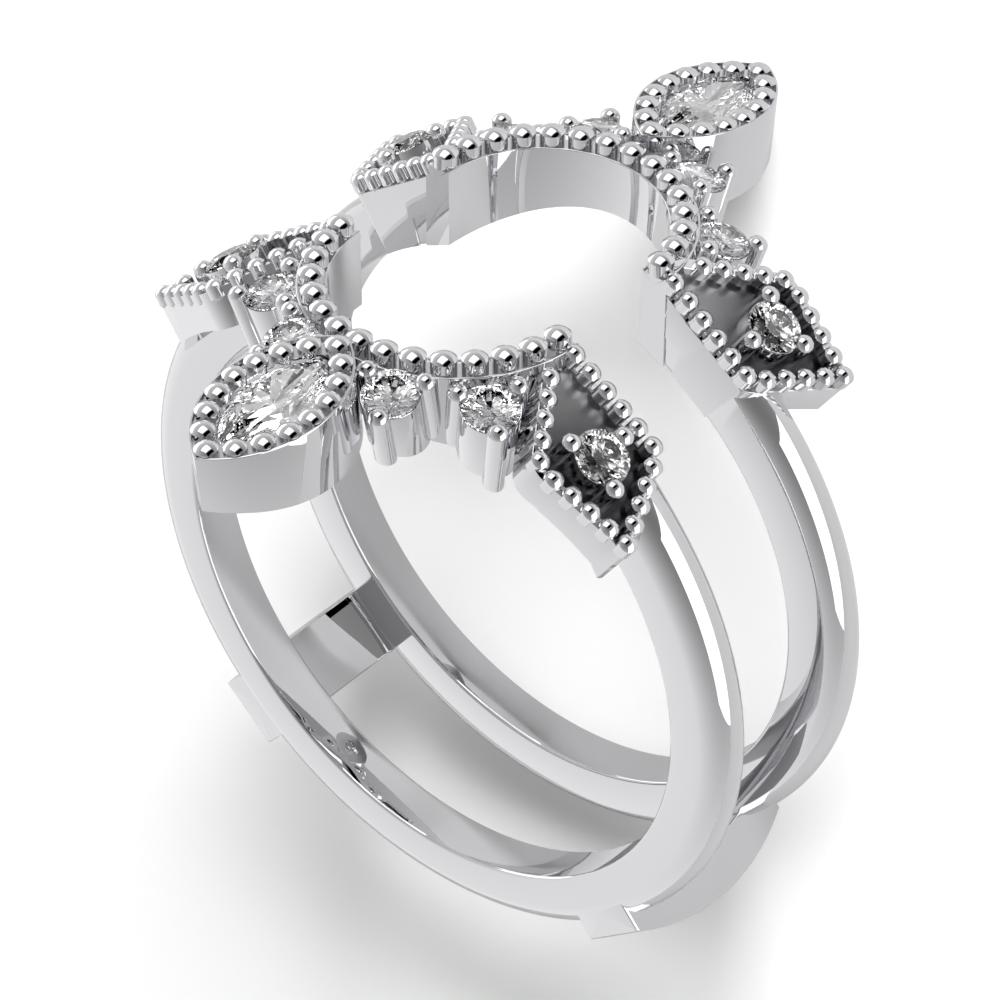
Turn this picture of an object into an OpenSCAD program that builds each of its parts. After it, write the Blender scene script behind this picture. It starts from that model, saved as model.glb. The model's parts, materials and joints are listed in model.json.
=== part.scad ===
// Open-headed ring guard: two thin bands joined by two bowed bridges, with a jewelled halo in two
// mirrored halves that frames the stone of another ring worn between the bands.
// The ring is drawn upright on its finger axis: X across, Y along the finger, Z up through the head.
// The last step lays it on its back side, as it rests on a table. All sizes are in millimetres.

/* [Finger hole] */
// Inner radius of the bands, half the inner diameter of a size 7 ring
finger_r = 8.65; // [8.5:0.05:8.8]
// How much further from the finger the head's underside lies than the bands do
head_relief = 0.03; // [0.02:0.01:0.05]

/* [Bands] */
// Width of one band along the finger
band_w = 1.44; // [1.36:0.02:1.52]
// Clear slot between the two bands, for the shank of the other ring
slot_w = 3.63; // [3.55:0.02:3.71]
// Radius of the rounded outer side of a band
dome_r = 0.76; // [0.74:0.01:0.80]
// Distance from the finger axis to the centre of the rounded side
dome_centre = 9.62; // [9.55:0.01:9.7]
// Comfort bevel on the finger side edges
comfort_bevel = 0.1; // [0.06:0.01:0.14]

/* [Bridges] */
// Angle of each bridge from the bottom of the ring
bridge_angle = 41; // [38:1:44]
// Width of a bridge around the ring
bridge_w = 2.15; // [1.9:0.05:2.4]
// Distance from the finger axis to the crest of a bridge
bridge_crest = 11.5; // [11.4:0.02:11.6]
// Radius of the bow of its outer side
bridge_bow_out = 6.5; // [6.2:0.1:7]
// Distance from the finger axis to the middle of its inner side
bridge_under = 10.14; // [10.08:0.02:10.2]
// Radius of the bow of its inner side
bridge_bow_in = 8.6; // [8.2:0.1:9]

/* [Halo rim] */
// Distance of each half circle's centre from the middle of the ring
rim_centre = 1.77; // [1.75:0.01:1.8]
// Inner radius of the rim wall, half the width of the open head
rim_in = 3.33; // [3.3:0.01:3.36]
// Outer radius of the rim wall
rim_out = 4.15; // [4.1:0.01:4.2]
// Height of the top of the rim wall above the finger axis
rim_top = 10.39; // [10.3:0.01:10.45]
// Radius of the circle through the bead centres
rim_bead_line = 3.734; // [3.7:0.002:3.77]
// Radius of a rim bead
rim_bead_r = 0.355; // [0.34:0.005:0.36]
// Height of a bead's post above the rim wall
rim_bead_post = 0.31; // [0.25:0.01:0.35]
// Height of a bead's low dome
rim_bead_dome = 0.15; // [0.12:0.01:0.2]
// Beads on each half of the rim
rim_beads = 15; // [15:2:15]
// Angle between neighbouring rim beads
rim_bead_step = 12.14; // [12:0.01:12.2]

/* [Marquise stones] */
// Distance of the bezel's centre from the middle of the ring
marquise_y = 8.7; // [8.66:0.01:8.74]
// Height of the bezel's top plane at its centre
marquise_z = 10.695; // [10.65:0.005:10.75]
// Outward tilt of the bezel
marquise_tilt = 5.6; // [5:0.1:6.2]
// Half of the length of the bead line
marquise_half_length = 2.4; // [2.38:0.01:2.42]
// Half of the width of the bead line
marquise_half_width = 1.31; // [1.29:0.01:1.33]
// Bezel wall outside of the bead line
marquise_wall_out = 0.36; // [0.34:0.01:0.38]
// Bezel wall inside of the bead line
marquise_wall_in = 0.28; // [0.26:0.01:0.3]
// Distance from the bead line in to the girdle of the stone
marquise_stone_in = 0.35; // [0.35:0.01:0.38]
// Height of the stone's table above the bezel's top plane
marquise_stone_rise = 0.08; // [0.04:0.01:0.12]
// Radius of a bezel bead
marquise_bead_r = 0.318; // [0.31:0.002:0.32]
// Height of a bezel bead's post above the bezel's top plane
marquise_bead_post = 0.05; // [0.03:0.01:0.1]
// Height of a bezel bead's low dome
marquise_bead_dome = 0.13; // [0.1:0.01:0.16]
// Beads round one bezel
marquise_beads = 16; // [16:2:16]

/* [Round stones] */
// Diameter of a round stone
round_d = 1.52; // [1.46:0.01:1.56]
// Distance of the two stones beside the marquise from the rim's centre
round_line = 4.83; // [4.8:0.01:4.86]
// Angle of the stone next to the marquise from the ring's long axis
round_angle_1 = 21.05; // [20.8:0.05:21.3]
// Angle of the stone next to the leaf from the ring's long axis
round_angle_2 = 51.7; // [51.4:0.1:52]
// Height of the table of the stone next to the marquise
round_z_1 = 10.38; // [10.34:0.01:10.42]
// Height of the table of the stone next to the leaf
round_z_2 = 10.07; // [10.03:0.01:10.11]
// Outward tilt of both stones
round_tilt = 16.5; // [16:0.1:17]
// Outer radius of the cup under a round stone
cup_r = 0.79; // [0.76:0.01:0.82]
// Radius of the hole up through a cup
cup_hole_r = 0.42; // [0.36:0.01:0.46]
// Radius of a prong
prong_r = 0.28; // [0.26:0.01:0.29]
// Height of a prong's domed tip
prong_dome = 0.2; // [0.16:0.01:0.24]
// Distance of a prong from the stone's axis
prong_line = 0.9; // [0.88:0.01:0.92]
// Height of the foot of a prong's dome above the table, beside the marquise
prong_rise = -0.04; // [-0.08:0.01:0]
// The same in the leaf
leaf_prong_rise = -0.17; // [-0.2:0.01:-0.14]

/* [Leaf cups] */
// Angle of a leaf's top plane from the top of the ring
leaf_angle = 34.5; // [34:0.1:35]
// Height of a leaf's bead centres above the finger axis
leaf_height = 10.9; // [10.86:0.01:10.94]
// Where the inner tip lies across the leaf's plane
leaf_tip_u = -3.05; // [-3.1:0.01:-3]
// Where the inner tip lies along the finger
leaf_tip_v = 2.05; // [2.02:0.01:2.08]
// Angle from the across direction to the leaf's long axis
leaf_turn = 24.7; // [24.4:0.1:25]
// Length of the leaf along its bead line
leaf_length = 5.9; // [5.85:0.01:5.95]
// Distance from the inner tip to the widest place
leaf_widest = 3.55; // [3.5:0.01:3.6]
// Half of the width at the widest place
leaf_half_width = 1.78; // [1.74:0.01:1.8]
// Radius of the two rounded corners
leaf_corner_r = 0.5; // [0.4:0.05:0.6]
// Distance from the bead line out to the outer face of the leaf wall
leaf_wall_out = 0.2; // [0.16:0.01:0.22]
// Distance from the bead line in to the inner face of the leaf wall
leaf_wall_in = 0.1; // [0.08:0.01:0.14]
// How far a leaf's slot side stands out from the sides of the bands
leaf_stand_out = 0.04; // [0.02:0.01:0.08]
// Thickness of the leaf wall on the side of the slot
leaf_slot_wall = 0.25; // [0.2:0.01:0.3]
// Distance from the finger axis to the foot of the leaf wall on its open side
leaf_foot_r = 9.72; // [9.6:0.02:9.8]
// Distance from the finger axis to the lowest place of the leaf, beside the band
leaf_low_r = 9.5; // [9.4:0.05:9.6]
// Drop of the leaf wall's top below the bead centres
leaf_wall_drop = 0.1; // [0.05:0.01:0.15]
// Drop of the wall's top on the slot side
leaf_slot_drop = 0.42; // [0.38:0.01:0.46]
// Depth of a leaf's floor under the foot of its beads
leaf_floor_depth = 0.5; // [0.46:0.01:0.54]
// Radius of a leaf bead and of its post
leaf_bead_r = 0.27; // [0.26:0.005:0.28]
// Height of a leaf bead's low dome
leaf_bead_dome = 0.15; // [0.12:0.01:0.2]
// Length of a leaf bead's straight post
leaf_post = 0.35; // [0.3:0.01:0.4]
// Length of the pointed foot under the post
leaf_foot = 0.25; // [0.2:0.01:0.3]
// Distance between leaf beads along the line
leaf_bead_step = 0.61; // [0.605:0.001:0.615]
// Beads on the slot side of a leaf, past the bead at its outer tip
leaf_beads_slot_side = 10; // [9:1:10]
// Beads on the open side of a leaf, past the bead at its outer tip
leaf_beads_open_side = 9; // [9:1:9]
// Distance from the inner tip to the leaf's round stone
leaf_stone_at = 3.58; // [3.55:0.01:3.6]
// Height of that stone's table above the finger axis
leaf_stone_z = 11.26; // [11.2:0.01:11.3]

/* [Stone fit] */
// Gap between a stone and its setting
stone_gap = 0.03; // [0.02:0.01:0.04]

/* [Hidden] */
$fn = 48;

metal_colour = "silver";
stone_colour = "aliceblue";
cut_over = 1;

// Bands
band_mid = slot_w / 2 + band_w / 2;
band_out = slot_w / 2 + band_w;
band_wall_top = dome_centre + 0.05;
band_spare = 0.5;
head_under_r = finger_r + head_relief;
relief_from = band_out + 0.1;
bridge_end = band_out - 0.02;
head_gap = asin(rim_in / finger_r);

// Marquise outlines are the overlap of two discs whose centres lie this far off the long axis
marquise_disc_r = (pow(marquise_half_length, 2) + pow(marquise_half_width, 2)) / (2 * marquise_half_width);
marquise_disc_x = marquise_disc_r - marquise_half_width;
marquise_bead_root = 0.25;
marquise_bead_ball_r = (pow(marquise_bead_r, 2) + pow(marquise_bead_dome, 2)) / (2 * marquise_bead_dome);
marquise_bead_ball_z = marquise_bead_post + marquise_bead_dome - marquise_bead_ball_r;
marquise_seat_depth = 0.66;
marquise_hole_in = 0.61;

// Marquise stone: heights of its table, crown, girdle and pavilion
marquise_table = 0.6;
marquise_crown = 0.28;
marquise_girdle = 0.04;
marquise_pavilion = 0.88;
girdle_corners = 16;

// Round brilliant proportions, as parts of the diameter
round_table = 0.57;
round_crown = round_d * 0.16;
round_girdle = round_d * 0.03;
round_pavilion = round_d * 0.43;
cup_top = round_crown + round_girdle;

// The head's walls start below the finger hole's wall, which the finger hole then cuts off
wall_from = finger_r - 1.2;
setting_depth = 3.4;

// The leaf's inner tip is cut off this far along its axis, inside the rim wall, and its outer tip a little
leaf_blunt_inner = 0.35;
leaf_blunt_outer = 0.12;
leaf_slot_face = slot_w / 2 - leaf_stand_out;

// Resting on the back: the foot of the back bezel and the rounded side of the back band touch the table
foot_tip = marquise_tip(marquise_wall_out);
foot_y = marquise_y + foot_tip * cos(marquise_tilt)
    - (marquise_z - foot_tip * sin(marquise_tilt) - head_under_r) * tan(marquise_tilt);
contact_y = foot_y - band_mid;
contact_z = head_under_r + dome_centre;
rest_tilt = acos(dome_r / sqrt(pow(contact_y, 2) + pow(contact_z, 2))) - atan2(contact_z, contact_y);
rest_height = band_mid * cos(rest_tilt) + dome_centre * sin(rest_tilt) + dome_r;
tip_bead_y = marquise_y + marquise_half_length * cos(marquise_tilt) + marquise_bead_ball_z * sin(marquise_tilt);
tip_bead_z = marquise_z - marquise_half_length * sin(marquise_tilt) + marquise_bead_ball_z * cos(marquise_tilt);
head_reach = tip_bead_y * sin(rest_tilt) + tip_bead_z * cos(rest_tilt) + marquise_bead_ball_r;
foot_reach = band_mid * sin(rest_tilt) + dome_centre * cos(rest_tilt) + dome_r;
rest_shift = (head_reach - foot_reach) / 2;

// Distance from a marquise outline's centre to its tip, for an outline moved out by the given amount
function marquise_tip(out) = sqrt(pow(marquise_disc_r + out, 2) - pow(marquise_disc_x, 2));

// Point on a leaf's bead line at a distance from its outer tip, in a frame along the leaf's axis
function leaf_line(distance) =
    let (
        outer_angle = atan2(leaf_half_width, leaf_length - leaf_widest),
        inner_angle = atan2(leaf_half_width, leaf_widest),
        bend = outer_angle + inner_angle,
        cut = leaf_corner_r * tan(bend / 2),
        outer_run = sqrt(pow(leaf_half_width, 2) + pow(leaf_length - leaf_widest, 2)) - cut,
        arc_run = leaf_corner_r * bend * PI / 180,
        arc_start = [leaf_length - outer_run * cos(outer_angle), outer_run * sin(outer_angle)],
        arc_centre = arc_start - leaf_corner_r * [sin(outer_angle), cos(outer_angle)],
        turned = (distance - outer_run) / leaf_corner_r * 180 / PI,
        arc_end = arc_centre + leaf_corner_r * [-sin(inner_angle), cos(inner_angle)],
        past = distance - outer_run - arc_run
    )
    distance < outer_run
    ? [leaf_length - distance * cos(outer_angle), distance * sin(outer_angle)]
    : distance < outer_run + arc_run
    ? arc_centre + leaf_corner_r * [sin(outer_angle - turned), cos(outer_angle - turned)]
    : arc_end - past * [cos(inner_angle), sin(inner_angle)];

// Corners of a leaf outline that lies outside its bead line by the given distance
function leaf_outline(out) =
    let (
        outer_angle = atan2(leaf_half_width, leaf_length - leaf_widest),
        inner_angle = atan2(leaf_half_width, leaf_widest),
        side = leaf_half_width + out * 2 / (cos(outer_angle) + cos(inner_angle)),
        inner_half = (leaf_blunt_inner + out / sin(inner_angle)) * tan(inner_angle),
        outer_half = leaf_blunt_outer * tan(outer_angle),
        outer_x = leaf_length + out / sin(outer_angle) - leaf_blunt_outer,
        cut = leaf_corner_r * 0.7
    )
    [
        [leaf_blunt_inner, -inner_half],
        [leaf_blunt_inner, inner_half],
        [leaf_widest - cut, side - cut * tan(inner_angle)],
        [leaf_widest + cut * 0.6, side - cut * 0.6 * tan(outer_angle)],
        [outer_x, outer_half],
        [outer_x, -outer_half],
        [leaf_widest + cut * 0.6, -side + cut * 0.6 * tan(outer_angle)],
        [leaf_widest - cut, -side + cut * tan(inner_angle)]
    ];

// A straight pin with a rounded top, whose top's centre is at the origin
module pin(radius, length, dome) {
    sphere_r = (pow(radius, 2) + pow(dome, 2)) / (2 * dome);
    rotate_extrude()
        union() {
            translate([0, -length]) square([radius, length]);
            intersection() {
                translate([0, dome - sphere_r]) circle(sphere_r);
                square([radius, dome]);
            }
        }
}

// One band with its rounded outer side, from one side of the open head round to the other
module band() {
    rotate([90, 0, 0]) rotate([0, 0, 90 + head_gap])
        rotate_extrude(angle = 360 - 2 * head_gap)
            band_profile();
}

module band_profile() {
    half = band_w / 2;
    translate([0, band_mid])
        union() {
            polygon([
                [finger_r - band_spare, comfort_bevel + band_spare - half],
                [finger_r + comfort_bevel, -half],
                [band_wall_top, -half], [band_wall_top, half],
                [finger_r + comfort_bevel, half],
                [finger_r - band_spare, half - comfort_bevel - band_spare]
            ]);
            intersection() {
                translate([dome_centre, 0]) circle(dome_r);
                translate([dome_centre - dome_r / 2, -half]) square([dome_r * 2, band_w]);
            }
        }
}

// A bowed bridge from band to band, flush with their outer sides
module bridge() {
    rotate([90, 0, 90])
        translate([0, 0, -bridge_w / 2])
            linear_extrude(bridge_w)
                difference() {
                    intersection() {
                        translate([0, bridge_crest - bridge_bow_out]) circle(bridge_bow_out);
                        translate([-bridge_end, finger_r]) square([2 * bridge_end, 4]);
                    }
                    translate([0, bridge_under - bridge_bow_in]) circle(bridge_bow_in);
                }
}

// The curved wall round half of the open head, with its row of beads
module halo_rim() {
    intersection() {
        translate([0, rim_centre, wall_from]) cylinder(h = rim_top - wall_from, r = rim_out);
        translate([-rim_out * 2, rim_centre, 0]) cube([rim_out * 4, rim_out * 4, rim_top * 2]);
    }
    for (i = [0 : rim_beads - 1])
        translate([0, rim_centre, rim_top + rim_bead_post])
            rotate([0, 0, (i - (rim_beads - 1) / 2) * rim_bead_step])
                translate([0, rim_bead_line, 0])
                    pin(rim_bead_r, rim_bead_post + 0.1, rim_bead_dome);
}

module marquise_shape(out) {
    intersection() {
        translate([marquise_disc_x, 0]) circle(marquise_disc_r + out);
        translate([-marquise_disc_x, 0]) circle(marquise_disc_r + out);
    }
}

module marquise_place() {
    translate([0, marquise_y, marquise_z]) rotate([-marquise_tilt, 0, 0]) children();
}

// The pointed bezel of a marquise stone, open underneath, with beads all round its top
module marquise_bezel() {
    half_arc = asin(marquise_half_length / marquise_disc_r);
    marquise_place()
        union() {
            difference() {
                translate([0, 0, -setting_depth]) linear_extrude(setting_depth)
                    marquise_shape(marquise_wall_out);
                translate([0, 0, -marquise_seat_depth]) linear_extrude(setting_depth)
                    marquise_shape(-marquise_wall_in);
                translate([0, 0, -setting_depth - cut_over]) linear_extrude(setting_depth + cut_over)
                    marquise_shape(-marquise_hole_in);
            }
            for (i = [0 : marquise_beads - 1])
                let (
                    side = i < marquise_beads / 2 ? 1 : -1,
                    turn = half_arc * (1 - 4 * (i % (marquise_beads / 2)) / marquise_beads)
                )
                translate([
                    side * (marquise_disc_r * cos(turn) - marquise_disc_x),
                    side * marquise_disc_r * sin(turn),
                    marquise_bead_post
                ])
                    pin(marquise_bead_r, marquise_bead_post + marquise_bead_root, marquise_bead_dome);
        }
}

// A round stone's setting: a cup with three prongs
module round_setting(rise = prong_rise) {
    difference() {
        translate([0, 0, -setting_depth]) cylinder(h = setting_depth - cup_top, r = cup_r);
        translate([0, 0, -setting_depth - cut_over]) cylinder(h = setting_depth, r = cup_hole_r);
    }
    for (i = [0 : 2])
        rotate([0, 0, i * 120])
            translate([0, prong_line, rise])
                pin(prong_r, setting_depth, prong_dome);
}

// The room that a round stone takes, which notches the cup, the prongs and the rim beside it
module round_seat() {
    girdle_r = round_d / 2 + stone_gap;
    table_r = round_d / 2 * round_table + stone_gap;
    rotate_extrude()
        polygon([
            [0, stone_gap], [table_r, stone_gap],
            [girdle_r, -round_crown], [girdle_r, -cup_top - stone_gap],
            [0, -cup_top - round_pavilion - stone_gap]
        ]);
}

// Places a round stone or its setting: 1 next to the marquise, 2 next to the leaf, 3 in the leaf
module round_place(number) {
    if (number == 3) {
        leaf_place()
            translate([leaf_stone_at, 0, leaf_stone_z - leaf_height]) rotate([0, 0, -90]) children();
    } else {
        translate([0, rim_centre, number == 1 ? round_z_1 : round_z_2])
            rotate([0, 0, -(number == 1 ? round_angle_1 : round_angle_2)])
                translate([0, round_line, 0])
                    rotate([-round_tilt, 0, 0])
                        children();
    }
}

// The leaf's frame: X along its axis from the inner tip, Z square to its top plane, beads at Z = 0
module leaf_place() {
    rotate([0, leaf_angle, 0])
        translate([leaf_tip_u, leaf_tip_v, leaf_height])
            rotate([0, 0, leaf_turn])
                children();
}

module leaf_bead() {
    pin(leaf_bead_r, leaf_post, leaf_bead_dome);
    translate([0, 0, -leaf_post - leaf_foot]) cylinder(h = leaf_foot, r1 = 0.02, r2 = leaf_bead_r);
}

// A leaf-shaped block that stays at least the given distance from the middle of the ring
module leaf_block(out, from_y, top, bottom = -setting_depth) {
    intersection() {
        leaf_place()
            translate([0, 0, bottom]) linear_extrude(top - bottom)
                polygon(leaf_outline(out));
        translate([0, from_y, 0]) cube(2 * finger_r);
    }
}

// The leaf's wall round its floor; on the slot side the wall's top is lower
module leaf_cup() {
    difference() {
        leaf_block(leaf_wall_out, leaf_slot_face, -leaf_wall_drop);
        leaf_block(-leaf_wall_in, leaf_slot_face + leaf_slot_wall, cut_over, -leaf_floor_depth);
        intersection() {
            rotate([90, 0, 0]) cylinder(h = 40, r = leaf_foot_r, center = true);
            leaf_place() translate([0, leaf_wall_out, -2 * setting_depth])
                cube([2 * leaf_length, leaf_length, 4 * setting_depth]);
        }
        leaf_place() translate([-leaf_length, -leaf_length - leaf_wall_out, -leaf_slot_drop])
            cube([3 * leaf_length, leaf_length, leaf_length]);
    }
    leaf_place() {
        translate([leaf_length, 0, 0]) leaf_bead();
        for (i = [1 : leaf_beads_open_side])
            translate(leaf_line(i * leaf_bead_step)) leaf_bead();
        for (i = [1 : leaf_beads_slot_side])
            mirror([0, 1, 0]) translate(leaf_line(i * leaf_bead_step)) leaf_bead();
    }
}

// The leaf's side towards the slot, a plate that goes down to the finger hole
module leaf_side() {
    intersection() {
        leaf_block(leaf_wall_out, leaf_slot_face, -leaf_slot_drop);
        translate([0, leaf_slot_face, 0]) cube([2 * finger_r, leaf_slot_wall, 2 * finger_r]);
    }
}

// One side of one half of the head
module head_quarter() {
    difference() {
        union() {
            leaf_cup();
            round_place(3) round_setting(leaf_prong_rise);
        }
        rotate([90, 0, 0]) cylinder(h = 40, r = leaf_low_r, center = true);
    }
    leaf_side();
    for (number = [1, 2]) round_place(number) round_setting();
}

// Half of the ring, with the stones' seats and the open head cut out of it
module half_ring() {
    difference() {
        union() {
            band();
            halo_rim();
            marquise_bezel();
            head_quarter();
            mirror([1, 0, 0]) head_quarter();
        }
        translate([0, rim_centre, 0]) cylinder(h = rim_top + cut_over, r = rim_in);
        translate([-rim_in, -cut_over, 0]) cube([2 * rim_in, rim_centre + cut_over, rim_top + cut_over]);
        for (side = [0, 1], number = [1 : 3])
            mirror([side, 0, 0]) round_place(number) round_seat();
    }
}

module ring_upright() {
    difference() {
        union() {
            half_ring();
            mirror([0, 1, 0]) half_ring();
            for (side = [-1, 1]) rotate([0, side * (180 - bridge_angle), 0]) bridge();
        }
        rotate([90, 0, 0]) cylinder(h = 40, r = finger_r, center = true);
        for (side = [0, 1])
            mirror([0, side, 0]) translate([0, relief_from, 0])
                rotate([-90, 0, 0]) cylinder(h = 20, r = head_under_r);
    }
}

// Lays the upright ring on its back side on the table
module rested() {
    translate([0, -rest_shift, rest_height]) rotate([rest_tilt - 90, 0, 0]) children();
}

// A cut stone with its table at the origin: 8 table corners, two girdle corners to each, and a culet
module cut_stone(girdle, table_share, crown, girdle_h, pavilion) {
    n = len(girdle);
    tables = n / 2;
    low = -crown - girdle_h;
    function corner(i) = (i + n) % n;
    function table_corner(k) = 2 * n + (k + tables) % tables;
    polyhedron(
        points = concat(
            [for (p = girdle) [p.x, p.y, -crown]],
            [for (p = girdle) [p.x, p.y, low]],
            [for (k = [0 : tables - 1]) [girdle[2 * k].x * table_share, girdle[2 * k].y * table_share, 0]],
            [[0, 0, low - pavilion]]
        ),
        faces = concat(
            [[for (k = [tables - 1 : -1 : 0]) table_corner(k)]],
            [for (k = [0 : tables - 1]) [2 * k, table_corner(k), corner(2 * k + 1)]],
            [for (k = [0 : tables - 1]) [table_corner(k), table_corner(k + 1), corner(2 * k + 1)]],
            [for (k = [0 : tables - 1]) [2 * k + 1, table_corner(k + 1), corner(2 * k + 2)]],
            [for (i = [0 : n - 1]) [n + i, i, corner(i + 1), n + corner(i + 1)]],
            [for (i = [0 : n - 1]) [n + i, n + corner(i + 1), 2 * n + tables]]
        )
    );
}

// The ring's two halves mirror each other, and so do the left and right side of each
module in_half(half) {
    rested() mirror([0, half == "front" ? 1 : 0, 0]) children();
}

module ring_body() {
    color(metal_colour) rested() ring_upright();
}

module marquise_stone(half) {
    disc_r = marquise_disc_r - marquise_stone_in;
    half_arc = acos(marquise_disc_x / disc_r);
    side_corners = girdle_corners / 2;
    girdle = [
        for (side = [1, -1], i = [0 : side_corners - 1])
            let (turn = half_arc * (2 * i / side_corners - 1))
            side * [disc_r * cos(turn) - marquise_disc_x, disc_r * sin(turn)]
    ];
    color(stone_colour) in_half(half) marquise_place() translate([0, 0, marquise_stone_rise])
        cut_stone(girdle, marquise_table, marquise_crown, marquise_girdle, marquise_pavilion);
}

// Places 1 to 6 run from the left leaf past the marquise stone to the right leaf
module round_stone(half, place) {
    number = place < 4 ? 4 - place : place - 3;
    girdle = [
        for (i = [0 : girdle_corners - 1])
            let (turn = i * 360 / girdle_corners) round_d / 2 * [cos(turn), sin(turn)]
    ];
    color(stone_colour) in_half(half) mirror([place < 4 ? 1 : 0, 0, 0]) round_place(number)
        cut_stone(girdle, round_table, round_crown, round_girdle, round_pavilion);
}

ring_body();
marquise_stone("front");  // marquise_stone_front
marquise_stone("back");  // marquise_stone_back
for (half = ["front", "back"], place = [1 : 6])
    round_stone(half, place);
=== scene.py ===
import json
import math
import bpy
import numpy as np
from mathutils import Matrix

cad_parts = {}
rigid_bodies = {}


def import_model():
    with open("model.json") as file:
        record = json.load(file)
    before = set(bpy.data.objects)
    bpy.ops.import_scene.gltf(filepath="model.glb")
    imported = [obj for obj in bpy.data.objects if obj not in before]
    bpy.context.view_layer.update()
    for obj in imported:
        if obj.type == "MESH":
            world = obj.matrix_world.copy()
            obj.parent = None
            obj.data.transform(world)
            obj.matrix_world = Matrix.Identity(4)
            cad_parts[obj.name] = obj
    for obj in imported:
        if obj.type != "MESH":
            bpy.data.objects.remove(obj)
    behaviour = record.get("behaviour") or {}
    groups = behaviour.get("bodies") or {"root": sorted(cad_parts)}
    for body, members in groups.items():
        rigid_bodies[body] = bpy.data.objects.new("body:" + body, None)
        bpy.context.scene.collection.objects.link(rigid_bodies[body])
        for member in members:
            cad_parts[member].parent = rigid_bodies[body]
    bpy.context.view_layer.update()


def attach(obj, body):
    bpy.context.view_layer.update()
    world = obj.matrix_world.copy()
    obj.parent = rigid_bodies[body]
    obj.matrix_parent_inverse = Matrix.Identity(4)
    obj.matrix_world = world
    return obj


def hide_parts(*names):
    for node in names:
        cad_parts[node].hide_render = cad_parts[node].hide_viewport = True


# Ring guard in polished white gold: two bands, two bridges and an open jewelled head.
# Shapes are worked out in the upright ring's own frame in millimetres (X across, Y along the finger,
# Z up through the head) and then laid on the table by toRow.

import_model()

ringPose = {"tilt": 23.5354, "shift": 1.80987, "height": 6.92554}  # how it rests on its back side
fingerRadius = 8.65
slotHalf = 1.815  # half of the clear slot between the bands
toFoot = -9.0  # in a profile, a height that is found on a cylinder round the finger axis
pointRadius = 0.0001  # as good as a point


# Small tools for grids

def toRow(points):  # turns the upright ring back about X, lifts it onto the table, mm to metres
    tilt = math.radians(ringPose["tilt"])
    x, y, z = points[..., 0], points[..., 1], points[..., 2]
    return np.stack([
        x,
        y * math.sin(tilt) + z * math.cos(tilt) - ringPose["shift"],
        -y * math.cos(tilt) + z * math.sin(tilt) + ringPose["height"],
    ], axis=-1) / 1000


def shifted(x, y, z):
    m = np.eye(4)
    m[:3, 3] = (x, y, z)
    return m


def turned(axis, degrees):  # right-hand turn about one axis
    a, b = {"x": (1, 2), "y": (2, 0), "z": (0, 1)}[axis]
    c, s = math.cos(math.radians(degrees)), math.sin(math.radians(degrees))
    m = np.eye(4)
    m[a, a], m[a, b], m[b, a], m[b, b] = c, -s, s, c
    return m


def mirrored(x, y):
    return np.diag([x, y, 1.0, 1.0])


def moved(points, matrix):
    return points @ matrix[:3, :3].T + matrix[:3, 3]


def gridQuads(rows, columns, loop=False):  # columns always join round, rows only where loop is set
    u, v = np.meshgrid(np.arange(rows if loop else rows - 1), np.arange(columns), indexing="ij")
    u, v = u.ravel(), v.ravel()
    u2, v2 = (u + 1) % rows, (v + 1) % columns
    return np.stack([u * columns + v, u2 * columns + v, u2 * columns + v2, u * columns + v2], axis=1)


def skin(points, loop=False):
    # a grid of points joined into quads; the last row joins the first one, or else a fan round its own
    # middle closes each of the two
    nu, nv = points.shape[:2]
    verts, tris = points.reshape(-1, 3), np.zeros((0, 3), int)
    if not loop:
        ring = np.arange(nv)
        after, last, middle = (ring + 1) % nv, (nu - 1) * nv, np.full(nv, nu * nv)
        tris = np.concatenate([
            np.stack([ring, after, middle], axis=1),
            np.stack([last + after, last + ring, middle + 1], axis=1),
        ])
        verts = np.concatenate([verts, [points[0].mean(axis=0), points[-1].mean(axis=0)]])
    return outward(verts, gridQuads(nu, nv, loop), tris)


def outward(verts, quads, tris):  # turns a closed skin's faces so that its volume is positive
    every = np.concatenate([quads[:, [0, 1, 2]], quads[:, [0, 2, 3]], tris])
    a, b, c = (verts[every[:, k]] for k in range(3))
    if np.einsum("ij,ij->", a, np.cross(b, c)) < 0:
        quads, tris = quads[:, ::-1], tris[:, ::-1]
    return verts, quads, tris


def placed(part, matrix):
    verts, quads, tris = part
    if np.linalg.det(matrix[:3, :3]) < 0:
        quads, tris = quads[:, ::-1], tris[:, ::-1]
    return moved(verts, matrix), quads, tris


def makePiece(name, parts, material, replaced=(), sharpAngle=30.0):
    start, verts, quads, tris = 0, [], [], []
    for v, q, t in parts:
        verts.append(v)
        quads.append(q + start)
        tris.append(t + start)
        start += len(v)
    verts = toRow(np.concatenate(verts)).astype(np.float32)
    quads, tris = np.concatenate(quads), np.concatenate(tris)
    corners = np.concatenate([quads.ravel(), tris.ravel()]).astype(np.int32)
    sizes = np.concatenate([np.full(len(quads), 4), np.full(len(tris), 3)]).astype(np.int32)
    starts = np.concatenate([[0], np.cumsum(sizes)[:-1]]).astype(np.int32)
    mesh = bpy.data.meshes.new(name)
    mesh.vertices.add(len(verts))
    mesh.vertices.foreach_set("co", verts.ravel())
    mesh.loops.add(len(corners))
    mesh.loops.foreach_set("vertex_index", corners)
    mesh.polygons.add(len(sizes))
    mesh.polygons.foreach_set("loop_start", starts)
    mesh.polygons.foreach_set("use_smooth", np.full(len(sizes), sharpAngle > 0))
    mesh.update(calc_edges=True)
    mesh.validate()
    if sharpAngle > 0:
        mesh.set_sharp_from_angle(angle=math.radians(sharpAngle))
    mesh.materials.append(material)
    piece = bpy.data.objects.new(name, mesh)
    bpy.context.scene.collection.objects.link(piece)
    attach(piece, "root")
    if replaced:
        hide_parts(*replaced)
    print("made", name, len(verts), "points")
    return piece


def quarter(steps):  # quarter turn from 0 to 90 degrees, as cosine and sine
    a = np.linspace(0, math.pi / 2, steps)
    return np.cos(a), np.sin(a)


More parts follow.
